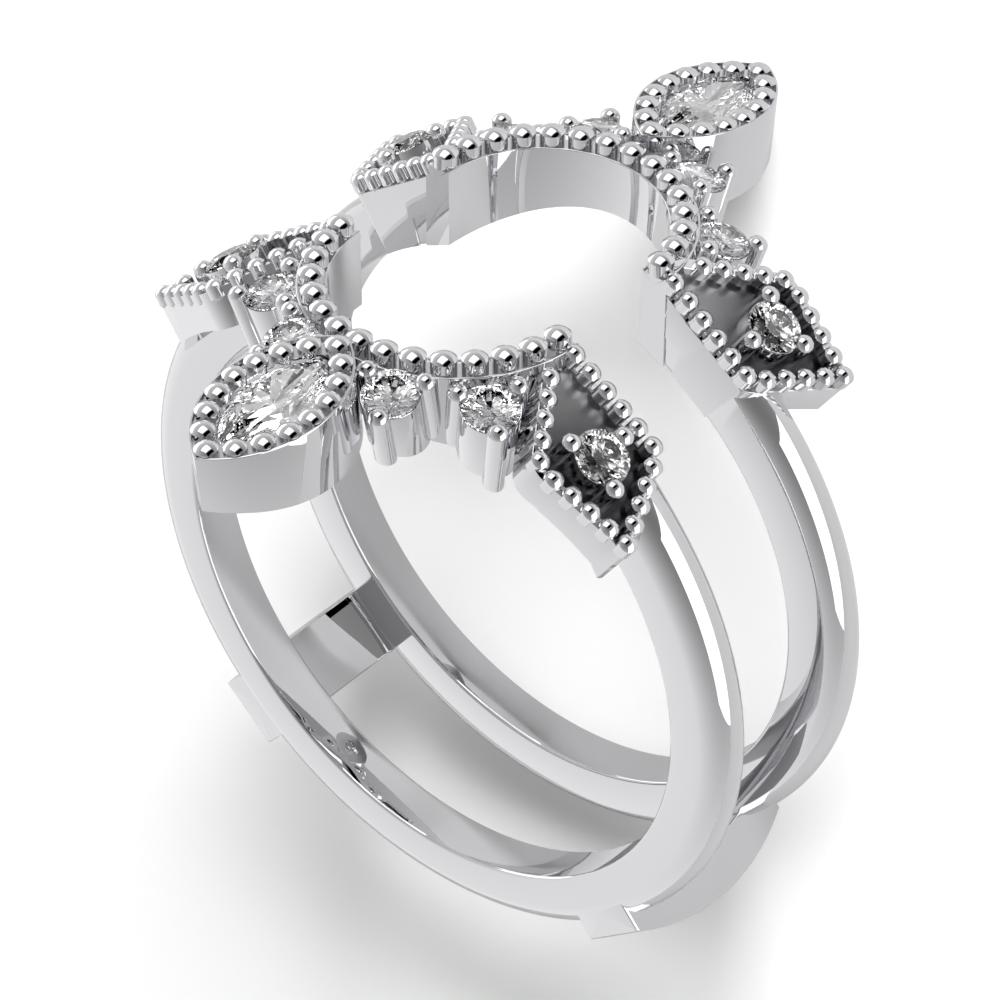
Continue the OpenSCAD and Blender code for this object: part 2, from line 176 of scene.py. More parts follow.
def onFinger(x):  # height of the finger hole's wall over the place x
    return np.sqrt(np.maximum(fingerRadius ** 2 - x ** 2, 0))


def toCylinder(points, direction, radius):
    # distance from each point along a direction to where it first meets a cylinder round the finger axis
    a = direction[0] ** 2 + direction[2] ** 2
    b = points[..., 0] * direction[0] + points[..., 2] * direction[2]
    c = points[..., 0] ** 2 + points[..., 2] ** 2 - radius ** 2
    return (-b - np.sqrt(np.maximum(b ** 2 - a * c, 0))) / a


# Materials

def toLinear(hexColour):
    s = np.array([int(hexColour[i:i + 2], 16) / 255 for i in (1, 3, 5)])
    return tuple(np.where(s <= 0.04045, s / 12.92, ((s + 0.055) / 1.055) ** 2.4)) + (1.0,)


def addNode(tree, kind, settings=(), links=()):
    node = tree.nodes.new(kind)
    for key, value in dict(settings).items():
        if isinstance(key, int) or key in node.inputs:
            node.inputs[key].default_value = value
        else:
            setattr(node, key, value)
    for key, socket in dict(links).items():
        tree.links.new(socket, node.inputs[key])
    return node


def newMaterial(name):
    material = bpy.data.materials.new(name)
    material.use_nodes = True
    material.node_tree.nodes.clear()
    return material, material.node_tree


def addShader(tree, kind, settings, links=()):  # the shader and the material's output after it
    shader = addNode(tree, kind, settings, links)
    addNode(tree, "ShaderNodeOutputMaterial", links={"Surface": shader.outputs[0]})


# Rhodium-plated white gold, polished on a wheel: a clear, slightly cool mirror. The wheel never leaves
# it quite even, so its roughness wanders a little over every millimetre, and fine swirls of the polish
# tilt it very slightly
goldLook = {
    "colour": "#DEDEE0", "smoothest": 0.012, "dullest": 0.035,
    "patchSize": 0.001, "patchLow": 0.3, "patchHigh": 0.7,  # metres, and the noise between the two
    "swirlSize": 0.00025, "swirlHeight": 0.0000002,
}
whiteGold, goldTree = newMaterial("polished rhodium-plated white gold")
onGold = addNode(goldTree, "ShaderNodeTexCoord").outputs["Object"]
patches = addNode(goldTree, "ShaderNodeTexNoise", {
    "Scale": 1 / goldLook["patchSize"], "Detail": 3.0,
}, {"Vector": onGold})
uneven = addNode(goldTree, "ShaderNodeMapRange", {
    "From Min": goldLook["patchLow"], "From Max": goldLook["patchHigh"],
    "To Min": goldLook["smoothest"], "To Max": goldLook["dullest"],
}, {"Value": patches.outputs["Fac"]})
swirls = addNode(goldTree, "ShaderNodeTexNoise", {
    "Scale": 1 / goldLook["swirlSize"], "Detail": 2.0,
}, {"Vector": onGold})
polished = addNode(goldTree, "ShaderNodeBump", {
    "Strength": 1.0, "Distance": goldLook["swirlHeight"],
}, {"Height": swirls.outputs["Fac"]})
addShader(goldTree, "ShaderNodeBsdfPrincipled", {
    "Base Color": toLinear(goldLook["colour"]), "Metallic": 1.0,
}, {"Roughness": uneven.outputs["Result"], "Normal": polished.outputs["Normal"]})

# Floor of the leaf cups: the same metal, less smooth than a wheel makes it. Its colour is painted
# shade: it goes from the bright to the dark one along the leaf, smoothly between the two places, darker
# round the stone as the deep cup's shade there
floorShadeLook = {"bright": "#B0B0B2", "dark": "#4C4C4E", "from": 0.2, "to": 0.6, "roughness": 0.3}
shadedFloorGold, shadedFloorTree = newMaterial("white gold, hardly polished, in the leaf cups")
placeOnLeaf = addNode(shadedFloorTree, "ShaderNodeAttribute", {"attribute_name": "along leaf"})
shadeShare = addNode(shadedFloorTree, "ShaderNodeMapRange", {
    "interpolation_type": "SMOOTHSTEP", "From Min": floorShadeLook["from"], "From Max": floorShadeLook["to"],
}, {"Value": placeOnLeaf.outputs["Fac"]})
shadedFloorColour = addNode(shadedFloorTree, "ShaderNodeMix", {
    "data_type": "RGBA", 6: toLinear(floorShadeLook["bright"]), 7: toLinear(floorShadeLook["dark"]),
}, {0: shadeShare.outputs["Result"]})
addShader(shadedFloorTree, "ShaderNodeBsdfPrincipled", {
    "Metallic": 1.0, "Roughness": floorShadeLook["roughness"],
}, {"Base Color": shadedFloorColour.outputs[2]})

# Diamond: colourless, with flat polished facets and a very high refractive index, which give the black
# and white sparkle
diamondLook = {"colour": "#FFFFFF", "ior": 2.417}
diamond, diamondTree = newMaterial("diamond")
addShader(diamondTree, "ShaderNodeBsdfPrincipled", {
    "Base Color": toLinear(diamondLook["colour"]), "Transmission Weight": 1.0, "Roughness": 0.0,
    "IOR": diamondLook["ior"],
})
print("materials ready")


# Bands

bandSizes = {
    "width": 1.44, "domeCentre": 9.62, "domeRadius": 0.76, "edgeRound": 0.1,
    "endX": 3.5,  # where the band ends inside the halo rim
    # extra height of the slot side edge beside the leaves, and in degrees from the head's middle where
    # it ends, over how much it fades and about where the band starts
    "shoulder": 0.24, "shoulderEnd": 58, "shoulderFade": 18, "startsAt": 20,
    "steps": 300, "edgeSteps": 6, "domeSteps": 16, "slotSteps": 14,
}


def bandSkin(sizes):
    # profile of radius and width carried round the finger axis: flat inside, upright sides, domed
    # outside; every profile point starts where its own circle meets the plane x = endX
    half, edge, dome = sizes["width"] / 2, sizes["edgeRound"], sizes["domeRadius"]
    c, s = quarter(sizes["edgeSteps"])
    around = np.linspace(0, 1, sizes["steps"])[:, None]
    crease = math.asin(half / dome)
    slotArc = np.linspace(0, crease, sizes["slotSteps"])
    cOut, sOut = quarter(sizes["domeSteps"])
    radius = np.concatenate([
        fingerRadius + edge * (1 - s), fingerRadius + edge * (1 - c),
        sizes["domeCentre"] + dome * sOut,
    ])
    width = np.concatenate([
        -half + edge * (1 - c), half - edge * (1 - s),
        half * cOut,
    ])
    slotDrop = (1 - np.cos(slotArc[1:])) / (1 - math.cos(crease))
    radius = np.concatenate([radius, np.zeros_like(slotDrop)])[None, :].repeat(sizes["steps"], 0)
    width = np.concatenate([width, -dome * np.sin(slotArc[1:])])
    top = sizes["domeCentre"] + dome
    # the shoulder's height goes down with the square of what is left of its fade
    fromHead = np.degrees(np.minimum(around, 1 - around) * 2 * math.pi) + sizes["startsAt"]
    faded = np.clip((sizes["shoulderEnd"] - fromHead) / sizes["shoulderFade"], 0, 1)
    lift = sizes["shoulder"] * faded ** 2
    creaseRadius = sizes["domeCentre"] + dome * math.cos(crease) + lift
    radius[:, -len(slotDrop):] = top - (top - creaseRadius) * slotDrop
    start = np.arcsin(sizes["endX"] / radius)
    angle = start + around * (2 * math.pi - 2 * start)
    y = slotHalf + half + width[None, :].repeat(sizes["steps"], 0)
    return skin(np.stack([radius * np.sin(angle), y, radius * np.cos(angle)], axis=-1))


# Bridges

bridgeSizes = {
    "angle": 41.0, "width": 2.15, "crest": 11.5, "bowOut": 6.5, "under": 10.14, "bowIn": 8.6,
    "end": 3.235, "edge": 0.05, "steps": 64, "edgeSteps": 5,
    "legFrom": 1.9, "legFoot": 9.2,  # past this place the underside goes down into the band
}


def bridgeSkin(sizes):
    # rounded rectangle carried from band to band; its top and its underside are arcs over the slot
    edge, half = sizes["edge"], sizes["width"] / 2
    c, s = quarter(sizes["edgeSteps"])
    run = sizes["end"] - edge
    between = np.linspace(-run, run, sizes["steps"])[1:-1]
    y = np.concatenate([-run - edge * c, between, run + edge * c[::-1]])
    inset = np.concatenate([edge * (1 - s), np.zeros(sizes["steps"] - 2), edge * (1 - s[::-1])])
    high = sizes["crest"] - sizes["bowOut"] + np.sqrt(sizes["bowOut"] ** 2 - y ** 2) - inset
    low = sizes["under"] - sizes["bowIn"] + np.sqrt(sizes["bowIn"] ** 2 - y ** 2)
    low = np.where(np.abs(y) > sizes["legFrom"], np.minimum(low, sizes["legFoot"]), low) + inset
    cornerT = np.concatenate([1 - edge / half * (1 - c), -1 + edge / half * (1 - c[::-1])])
    cornerD = np.concatenate([edge * (1 - s), edge * (1 - s[::-1])])
    wide = (half - inset)[:, None]
    topX, topZ = cornerT[None] * wide, high[:, None] - cornerD[None]
    bottomX, bottomZ = cornerT[None, ::-1] * wide, low[:, None] + cornerD[None, ::-1]
    x = np.concatenate([topX, bottomX], axis=1)
    z = np.concatenate([topZ, bottomZ], axis=1)
    return skin(np.stack([x, np.broadcast_to(y[:, None], x.shape), z], axis=-1))


# Halo rim and its beads

rimSizes = {
    "centre": 1.77, "inner": 3.33, "outer": 4.15, "top": 10.39, "edge": 0.03,
    "lip": 0.06, "lipSlope": 0.02, "recess": 0.05, "steps": 121, "edgeSteps": 5,
    "beadLine": 3.734, "beads": 15, "beadStep": 12.14,
    "beadRadius": 0.355, "beadPost": 0.31, "beadRoot": 0.06, "beadDome": 0.15,
}


def rimSkin(sizes):
    # wall profile carried round half a circle; its foot follows the finger hole, its top is a land
    # between two thin raised lips
    c, s = quarter(sizes["edgeSteps"])
    edge, lip, slope = sizes["edge"], sizes["lip"], sizes["lipSlope"]
    outer, inner, top = sizes["outer"], sizes["inner"], sizes["top"]
    land = top - sizes["recess"]
    radius = np.concatenate([
        outer - edge * (1 - c), [outer - lip, outer - lip - slope, inner + lip + slope, inner + lip],
        inner + edge * (1 - c[::-1]), [inner, outer],
    ])
    height = np.concatenate([
        top - edge * (1 - s), [top, land, land, top],
        top - edge * (1 - s[::-1]), [toFoot, toFoot],
    ])
    phi = np.linspace(0, math.pi, sizes["steps"])[:, None]
    x, y = radius * np.cos(phi), sizes["centre"] + radius * np.sin(phi)
    z = np.where(height == toFoot, onFinger(x), height)
    return skin(np.stack([x, y, z], axis=-1))


def pinSkin(radius, post, dome, foot=0.0, segments=28, rings=9, footTip=0.02):
    # profile of a post with a domed top turned about Z; the dome's rim is at Z = 0, and a foot, where
    # there is one, is a cone under the post
    ball = (radius ** 2 + dome ** 2) / (2 * dome)
    a = np.linspace(0, math.asin(min(radius / ball, 1.0)), rings)[1:]
    r = np.concatenate([ball * np.sin(a), [radius]])
    z = np.concatenate([dome - ball * (1 - np.cos(a)), [-post]])
    if foot > 0:
        r, z = np.append(r, footTip), np.append(z, -post - foot)
    turn = np.linspace(0, 2 * math.pi, segments, endpoint=False)
    verts, quads, tris = skin(np.stack([
        r[:, None] * np.cos(turn), r[:, None] * np.sin(turn),
        np.broadcast_to(z[:, None], (len(r), segments)),
    ], axis=-1))
    verts[len(r) * segments] = (0, 0, dome)  # the pole of the dome
    return verts, quads, tris


def rimBeads(sizes):
    bead = pinSkin(sizes["beadRadius"], sizes["beadPost"] + sizes["beadRoot"], sizes["beadDome"])
    for i in range(sizes["beads"]):
        turn = (i - (sizes["beads"] - 1) / 2) * sizes["beadStep"]
        yield placed(bead, shifted(0, sizes["centre"], sizes["top"] + sizes["beadPost"])
                     @ turned("z", turn) @ shifted(0, sizes["beadLine"], 0))


# Marquise bezels

marquiseSizes = {
    "y": 8.7, "z": 10.695, "tilt": 5.6, "halfLength": 2.4, "halfWidth": 1.31,
    "wallOut": 0.36, "wallIn": 0.28, "holeIn": 0.61, "seatDepth": 0.66, "edge": 0.025,
    "lip": 0.06, "lipSlope": 0.02, "recess": 0.1, "steps": 40, "edgeSteps": 4,
    "beads": 16, "beadRadius": 0.318, "beadPost": 0.05, "beadRoot": 0.25, "beadDome": 0.13,
    "stoneIn": 0.35, "stoneRise": 0.08,
    "table": 0.6, "crown": 0.28, "girdle": 0.04, "pavilion": 0.88,  # the table as part of the width
}
discRadius = ((marquiseSizes["halfLength"] ** 2 + marquiseSizes["halfWidth"] ** 2)
              / (2 * marquiseSizes["halfWidth"]))
discX = discRadius - marquiseSizes["halfWidth"]
marquiseFrame = (shifted(0, marquiseSizes["y"], marquiseSizes["z"])
                 @ turned("x", -marquiseSizes["tilt"]))


def vesica(t, out):
    # pointed oval: the overlap of two discs moved out by a distance; t from 0 to 2 goes once round it
    radius = discRadius + out
    reach = np.arccos(discX / radius)
    side = np.where(t < 1, 1.0, -1.0)
    turn = reach * (2 * (t % 1.0) - 1)
    return side * (radius * np.cos(turn) - discX), side * radius * np.sin(turn)


def marquiseBezelSkin(sizes):
    # wall profile (distance out of the bead line, height) carried round the pointed oval; its foot lies
    # on the finger hole's wall
    c, s = quarter(sizes["edgeSteps"])
    edge, lip, slope = sizes["edge"], sizes["lip"], sizes["lipSlope"]
    outer, inner, hole = sizes["wallOut"], -sizes["wallIn"], -sizes["holeIn"]
    land, seat = -sizes["recess"], -sizes["seatDepth"]
    out = np.concatenate([
        outer - edge * (1 - c), [outer - lip, outer - lip - slope, inner, inner, hole, hole, outer],
    ])
    height = np.concatenate([-edge * (1 - s), [0, land, land, seat, seat, toFoot, toFoot]])
    t = (np.arange(2 * sizes["steps"]) / sizes["steps"])[:, None]
    x, y = vesica(t, out[None, :])
    points = moved(np.stack([x, y, np.broadcast_to(height, x.shape)], axis=-1), marquiseFrame)
    top = moved(np.stack([x, y, np.zeros_like(x)], axis=-1), marquiseFrame)
    down = -marquiseFrame[:3, 2]
    depth = (onFinger(top[..., 0]) - top[..., 2]) / down[2]
    foot = top + depth[..., None] * down
    return skin(np.where((height == toFoot)[None, :, None], foot, points), loop=True)


def marquiseBeads(sizes):
    bead = pinSkin(sizes["beadRadius"], sizes["beadPost"] + sizes["beadRoot"], sizes["beadDome"])
    halfArc = math.asin(sizes["halfLength"] / discRadius)
    half = sizes["beads"] // 2
    for i in range(sizes["beads"]):
        side = 1 if i < half else -1
        turn = halfArc * (1 - 2 * (i % half) / half)
        yield placed(bead, marquiseFrame @ shifted(
            side * (discRadius * math.cos(turn) - discX), side * discRadius * math.sin(turn),
            sizes["beadPost"]))


# Leaf cups

leafSizes = {
    "angle": 34.5, "height": 10.9, "tipU": -3.05, "tipV": 2.05, "turn": 24.7,
    "length": 5.9, "widest": 3.55, "halfWidth": 1.78, "corner": 0.5,
    "innerBlunt": 0.35, "outerBlunt": 0.12, "innerSteps": 12, "arcSteps": 13, "outerSteps": 8,
    "wallOut": 0.2, "wallIn": 0.1, "slotWall": 0.25, "drop": 0.1, "slotDrop": 0.42,
    "standOut": 0.04,  # how far the slot side stands out from the sides of the bands
    "footRadius": 9.72, "lowRadius": 9.5, "slotFootGap": 0.01, "footIn": 0.06,
    "edge": 0.02, "edgeBend": 0.3,  # the edge's middle, as a share of it
    "floorDepth": 0.5, "floorThick": 0.65, "floorInWall": 0.03, "floorFromSlot": 0.1,
    "beadRadius": 0.27, "beadDome": 0.15, "beadPost": 0.35, "beadFoot": 0.25, "beadStep": 0.61,
    "beadsSlotSide": 10, "beadsOpenSide": 9,
    "stoneAt": 3.58, "stoneZ": 11.26,
}
leafFrame = (turned("y", leafSizes["angle"])
             @ shifted(leafSizes["tipU"], leafSizes["tipV"], leafSizes["height"])
             @ turned("z", leafSizes["turn"]))
# half angles of the leaf's outer and inner tip
outerAngle = math.atan2(leafSizes["halfWidth"], leafSizes["length"] - leafSizes["widest"])
innerAngle = math.atan2(leafSizes["halfWidth"], leafSizes["widest"])


def leafLine(distance):
    # bead line by distance from the outer tip: straight, a rounded corner, straight to the inner tip
    s = leafSizes
    bend = outerAngle + innerAngle
    cut = s["corner"] * math.tan(bend / 2)
    outerRun = math.hypot(s["halfWidth"], s["length"] - s["widest"]) - cut
    arcRun = s["corner"] * bend
    outerSlope = np.array([math.sin(outerAngle), math.cos(outerAngle)])
    arcStart = np.array([
        s["length"] - outerRun * math.cos(outerAngle), outerRun * math.sin(outerAngle)])
    arcCentre = arcStart - s["corner"] * outerSlope
    if distance < outerRun:
        return s["length"] - distance * math.cos(outerAngle), distance * math.sin(outerAngle)
    if distance < outerRun + arcRun:
        turn = outerAngle - (distance - outerRun) / s["corner"]
        return tuple(arcCentre + s["corner"] * np.array([math.sin(turn), math.cos(turn)]))
    past = distance - outerRun - arcRun
    arcEnd = arcCentre + s["corner"] * np.array([-math.sin(innerAngle), math.cos(innerAngle)])
    return tuple(arcEnd - past * np.array([math.cos(innerAngle), math.sin(innerAngle)]))


def leafOutline(out):
    # closed outline in the leaf's frame, out of the bead line by a distance: from the blunt inner tip
    # straight to the widest corner's arc and straight to the blunt outer tip, then back mirrored
    s = leafSizes
    corner = s["corner"] + out
    # centre of the corner's arc, the same for every outline
    toTop = s["corner"] / math.cos((outerAngle + innerAngle) / 2)
    lean = (outerAngle - innerAngle) / 2
    centre = np.array([
        s["widest"] - toTop * math.sin(lean), s["halfWidth"] - toTop * math.cos(lean)])
    turn = np.linspace(-innerAngle, outerAngle, s["arcSteps"])
    arc = centre + corner * np.stack([np.sin(turn), np.cos(turn)], axis=1)
    tipHalf = (s["innerBlunt"] + out / math.sin(innerAngle)) * math.tan(innerAngle)
    endX = s["length"] + out / math.sin(outerAngle) - s["outerBlunt"]
    inTip = np.array([s["innerBlunt"], tipHalf])
    outTip = np.array([endX, s["outerBlunt"] * math.tan(outerAngle)])
    side = np.concatenate([
        inTip + (arc[0] - inTip) * np.linspace(0, 1, s["innerSteps"])[:-1, None], arc,
        arc[-1] + (outTip - arc[-1]) * np.linspace(0, 1, s["outerSteps"])[1:, None],
    ])
    return np.concatenate([side, side[::-1] * [1, -1]])


def onLeaf(outline, height):  # an outline at one height in the leaf's frame
    return moved(np.column_stack([outline, np.full(len(outline), height)]), leafFrame)


def besideHead(points):
    # moves what would stand in the open head out to the middle of the rim's wall
    middle = (rimSizes["inner"] + rimSizes["outer"]) / 2
    away = points[..., :2] - [0, rimSizes["centre"]]
    reach = np.linalg.norm(away, axis=-1, keepdims=True)
    beside = away * np.maximum(middle / reach, 1) + [0, rimSizes["centre"]]
    return np.concatenate([beside, points[..., 2:]], axis=-1)


def leafWallSkin(sizes):
    # wall profile carried round the leaf; on the slot side it is one upright plane down to the finger
    # hole, and the foot's distance along down is the one to a cylinder round the finger axis
    outline, edge = leafOutline(sizes["wallOut"]), sizes["edge"]
    outer, inner = onLeaf(outline, 0.0), onLeaf(leafOutline(-sizes["wallIn"]), 0.0)
    slotFace = slotHalf - sizes["standOut"]
    onSlot = outer[:, 1] < slotFace
    outer[:, 1] = np.maximum(outer[:, 1], slotFace)
    inner[:, 1] = np.maximum(inner[:, 1], slotFace + sizes["slotWall"])
    down = -leafFrame[:3, 2]
    openSide = outline[:, 1] > sizes["wallOut"]
    innerFoot = np.where(openSide, sizes["footRadius"], sizes["lowRadius"])
    outerFoot = np.where(onSlot, fingerRadius + sizes["slotFootGap"], innerFoot)
    drop = np.where(openSide, sizes["drop"], sizes["slotDrop"])[:, None]
    across = inner - outer
    across /= np.linalg.norm(across, axis=1, keepdims=True)
    foot = outer + toCylinder(outer, down, outerFoot)[:, None] * down
    bend = sizes["edgeBend"]
    rows = [
        foot + across * sizes["footIn"],
        foot,
        outer + (drop + edge) * down,
        outer + (drop + edge * bend) * down + across * edge * bend,
        outer + drop * down + across * edge,
        inner + drop * down - across * edge,
        inner + (drop + edge) * down,
        inner + toCylinder(inner, down, innerFoot)[:, None] * down,
    ]
    return skin(besideHead(np.stack(rows, axis=1)), loop=True)


def leafFloorSkin(sizes):
    # plate across the leaf, with its edge inside the wall
    outline = leafOutline(sizes["floorInWall"] - sizes["wallIn"])
    m = leafFrame
    rows = []
    for drop in (sizes["floorDepth"], sizes["floorDepth"] + sizes["floorThick"]):
        row = onLeaf(outline, -drop)
        row[:, 1] = np.maximum(row[:, 1], slotHalf + sizes["floorFromSlot"])
        row = besideHead(row)
        # back on its plane: z = (the plane's distance - x times the normal's x) / the normal's z
        row[:, 2] = (m[:3, 3] @ m[:3, 2] - drop - m[0, 2] * row[:, 0]) / m[2, 2]
        rows.append(row)
    return skin(np.stack(rows))


def leafBeads(sizes):
    bead = pinSkin(sizes["beadRadius"], sizes["beadPost"], sizes["beadDome"], sizes["beadFoot"])
    yield placed(bead, leafFrame @ shifted(sizes["length"], 0, 0))
    for count, side in ((sizes["beadsOpenSide"], 1), (sizes["beadsSlotSide"], -1)):
        for i in range(1, count + 1):
            x, y = leafLine(i * sizes["beadStep"])
            yield placed(bead, leafFrame @ shifted(x, side * y, 0))


# Round settings: number 1 is next to the marquise stone, 2 next to the leaf and 3 in the leaf

roundSizes = {
    "diameter": 1.52, "line": 4.83, "angles": (21.05, 51.7), "heights": (10.38, 10.07), "tilt": 16.5,
    "cupRadius": 0.79, "holeRadius": 0.42, "seatGap": 0.01, "seatRoom": 0.005, "cupEdge": 0.02,
    "cupSegments": 48,
    "prongRadius": 0.28, "prongLine": 0.9, "prongRises": (-0.02, -0.02, -0.15), "prongDome": 0.19,
    "prongEdge": 0.02, "prongRings": 9, "prongSegments": 24, "prongTurns": (0, 120, 240),
    # the stone's own, as parts of its diameter
    "table": 0.58, "crown": 0.12, "girdle": 0.03, "pavilion": 0.43,
}


def roundFrame(number):  # Z = 0 is the stone's table
    if number == 3:
        rise = leafSizes["stoneZ"] - leafSizes["height"]
        return leafFrame @ shifted(leafSizes["stoneAt"], 0, rise) @ turned("z", -90)
    return (shifted(0, rimSizes["centre"], roundSizes["heights"][number - 1])
            @ turned("z", -roundSizes["angles"][number - 1]) @ shifted(0, roundSizes["line"], 0)
            @ turned("x", -roundSizes["tilt"]))


def tubeSkin(number, matrix, profile, segments):
    # profile of radius and height turned about the stone's axis; its foot lies on the cylinder under it
    r, z = (np.array(p, float) for p in zip(*profile))
    turn = np.linspace(0, 2 * math.pi, segments, endpoint=False)
    m = roundFrame(number) @ matrix
    x, y = np.cos(turn)[:, None] * r, np.sin(turn)[:, None] * r
    top = moved(np.stack([x, y, np.zeros_like(x)], axis=-1), m)
    points = moved(np.stack([x, y, np.broadcast_to(z, x.shape)], axis=-1), m)
    down = -m[:3, 2]
    footRadius = leafSizes["lowRadius"] if number == 3 else fingerRadius
    foot = top + toCylinder(top, down, footRadius)[..., None] * down
    return skin(np.where((z == toFoot)[None, :, None], foot, points), loop=True)


def cupSkin(number):
    # a tube whose top is a seat that follows the stone's pavilion down to the hole
    s = roundSizes
    r, hole, edge, half = s["cupRadius"], s["holeRadius"], s["cupEdge"], s["diameter"] / 2
    low = -2 * half * (s["crown"] + s["girdle"]) - s["seatGap"]
    seat = low - 2 * half * s["pavilion"] * (1 - hole / half)
    return tubeSkin(number, np.eye(4), [
        (r, toFoot), (r, low - edge), (r - edge / 2, low), (half + s["seatRoom"], low), (hole, seat),
        (hole, toFoot),
    ], s["cupSegments"])


def prongSkin(number, turn):
    # a round post with a softened edge and a domed top
    s = roundSizes
    r, dome, edge = s["prongRadius"], s["prongDome"], s["prongEdge"]
    ball = (r ** 2 + dome ** 2) / (2 * dome)
    a = np.linspace(math.asin(r / ball), 0, s["prongRings"])[1:-1]
    top = [(ball * math.sin(b), dome - ball * (1 - math.cos(b))) for b in a]
    at = turned("z", turn) @ shifted(0, s["prongLine"], s["prongRises"][number - 1])
    return tubeSkin(number, at, [
        (pointRadius, toFoot), (r, toFoot), (r, -edge), (r - edge / 4, edge / 2), *top,
        (pointRadius, dome),
    ], s["prongSegments"])


# Cut stones

def brilliant(outline, table, crown, girdle, pavilion, star=0.55, lower=0.25):
    # brilliant cut over any outline: outline(t) gives the girdle at 32 places; table and culet rings
    # are the outline drawn in, with star, kite, upper half, pavilion main and lower half facets between
    rim = outline(np.arange(32) / 32)
    mains, halves = rim[::4], rim[2::4]
    starShare = table + (1 - table) * star
    starZ = -crown * (starShare * math.cos(math.pi / 8) - table) / (1 - table)
    lowShare = lower / math.cos(math.pi / 8)
    low = -crown - girdle
    lowZ = low - pavilion * (1 - lower)
    rings = [(mains * table, 0), (halves * starShare, starZ), (rim, -crown), (rim, low),
             (halves * lowShare, lowZ)]
    verts = np.concatenate([np.column_stack([xy, np.full(len(xy), z)]) for xy, z in rings]
                           + [[[0, 0, low - pavilion]], [[0, 0, 0]]])
    # where each ring starts: table, stars, girdle's top and bottom, lower halves; then two middles
    t0, s0, g0, h0, l0, culet, middle = 0, 8, 16, 48, 80, 88, 89
    tris = []
    for k in range(8):
        n = (k + 1) % 8
        before = (k - 1) % 8
        g = [g0 + (4 * k + i) % 32 for i in range(5)]
        h = [h0 + (4 * k + i) % 32 for i in range(5)]
        tris += [(middle, t0 + k, t0 + n), (t0 + k, s0 + k, t0 + n)]
        tris += [(t0 + k, s0 + before, g[0]), (t0 + k, g[0], s0 + k)]
        tris += [(s0 + k, g[i], g[i + 1]) for i in range(4)]
        tris += [(l0 + k, h[i + 1], h[i]) for i in range(4)]
        tris += [(l0 + before, h[0], culet), (h[0], l0 + k, culet)]
    i = np.arange(32)
    j = (i + 1) % 32
    quads = np.stack([g0 + i, h0 + i, h0 + j, g0 + j], axis=1)
    return outward(verts, quads, np.array(tris))


def roundStone(sizes):
    def outline(t):  # a circle
        turn = 2 * math.pi * t
        return sizes["diameter"] / 2 * np.stack([np.cos(turn), np.sin(turn)], axis=1)
    return brilliant(outline, sizes["table"],
                     *(sizes["diameter"] * sizes[part] for part in ("crown", "girdle", "pavilion")))


def marquiseStone(sizes):
    def outline(t):  # the pointed oval from a tip
        return np.stack(vesica((2 * t) % 2.0, -sizes["stoneIn"]), axis=1)
    return brilliant(outline, *(sizes[part] for part in ("table", "crown", "girdle", "pavilion")))


# The ring

quarters = [(x, y) for y in (-1, 1) for x in (-1, 1)]


def inHalves(parts):  # each part in the front and the back half
    return [placed(part, mirrored(1, y)) for part in parts for y in (-1, 1)]


def inQuarters(parts):
    return [placed(part, mirrored(x, y)) for part in parts for x, y in quarters]


def makeMetal(name, parts, replaced=(), material=whiteGold):
    return makePiece(name, parts, material, replaced)


def makeStone(kind, place, part, matrix):  # its facets stay flat
    makePiece(kind + "_" + place, [placed(part, matrix)], diamond,
              [kind + "_stone_" + place], sharpAngle=0)


numbers = (1, 2, 3)
makeMetal("bands", inHalves([bandSkin(bandSizes)]), ["ring_body"])
makeMetal("bridges", [
    placed(bridgeSkin(bridgeSizes), turned("y", side * (180 - bridgeSizes["angle"])))
    for side in (-1, 1)])
makeMetal("halo_rim", inHalves([rimSkin(rimSizes)]))
makeMetal("rim_beads", inHalves(rimBeads(rimSizes)))
makeMetal("marquise_bezels", inHalves([marquiseBezelSkin(marquiseSizes)]))
makeMetal("marquise_beads", inHalves(marquiseBeads(marquiseSizes)))
makeMetal("stone_cups", inQuarters(cupSkin(number) for number in numbers))
makeMetal("prongs", inQuarters(
    prongSkin(number, turn) for number in numbers for turn in roundSizes["prongTurns"]))
makeMetal("leaf_walls", inQuarters([leafWallSkin(leafSizes)]))
floorPart = leafFloorSkin(leafSizes)
# the leaf floors' colour is painted shade, darker towards the stone
leafFloors = makeMetal("leaf_floors", inQuarters([floorPart]), material=shadedFloorGold)
fromTip = (floorPart[0] - leafFrame[:3, 3]) @ leafFrame[:3, 0] / leafSizes["length"]
alongLeaf = leafFloors.data.attributes.new("along leaf", "FLOAT", "POINT")
alongLeaf.data.foreach_set("value", np.tile(fromTip, len(quarters)).astype(np.float32))
makeMetal("leaf_beads", inQuarters(leafBeads(leafSizes)))

roundPart, marquisePart = roundStone(roundSizes), marquiseStone(marquiseSizes)
marquiseAt = marquiseFrame @ shifted(0, 0, marquiseSizes["stoneRise"])
for half, y in (("front", -1), ("back", 1)):
    makeStone("marquise", half, marquisePart, mirrored(1, y) @ marquiseAt)
    for place in range(1, 7):  # from the left leaf past the marquise stone to the right leaf
        x, number = (-1, 4 - place) if place < 4 else (1, place - 3)
        makeStone("round", "%s_%d" % (half, place), roundPart, mirrored(x, y) @ roundFrame(number))


# Table, light and camera

studio = {
    "sheetColour": "#F7F7F7", "sheetHalf": 0.6, "sheetZ": -0.00002, "sheetRoughness": 0.35,
    # the part of the sheet that the metal mirrors, painted grey as shade: a darker copy of the sheet for
    # the metal's reflections
    "mirroredShadeColour": "#C4C4C4", "mirroredHalf": 0.035, "mirroredZ": -0.00001,
    "roomMiddle": 0.65, "roomSlope": (-0.28, 0.1, -0.32),
}
rayKinds = ("camera", "glossy", "transmission", "diffuse", "shadow")
scene = bpy.context.scene


def ringDirection(x, y, z):  # a direction in the upright ring's frame, as it points on the table
    d = toRow(np.array([float(x), float(y), float(z)])) - toRow(np.zeros(3))
    return d / np.linalg.norm(d)


def addStage(name, mesh, seen):
    thing = bpy.data.objects.new(name, mesh)
    scene.collection.objects.link(thing)
    for kind in rayKinds:
        setattr(thing, "visible_" + kind, kind in seen)
    return thing


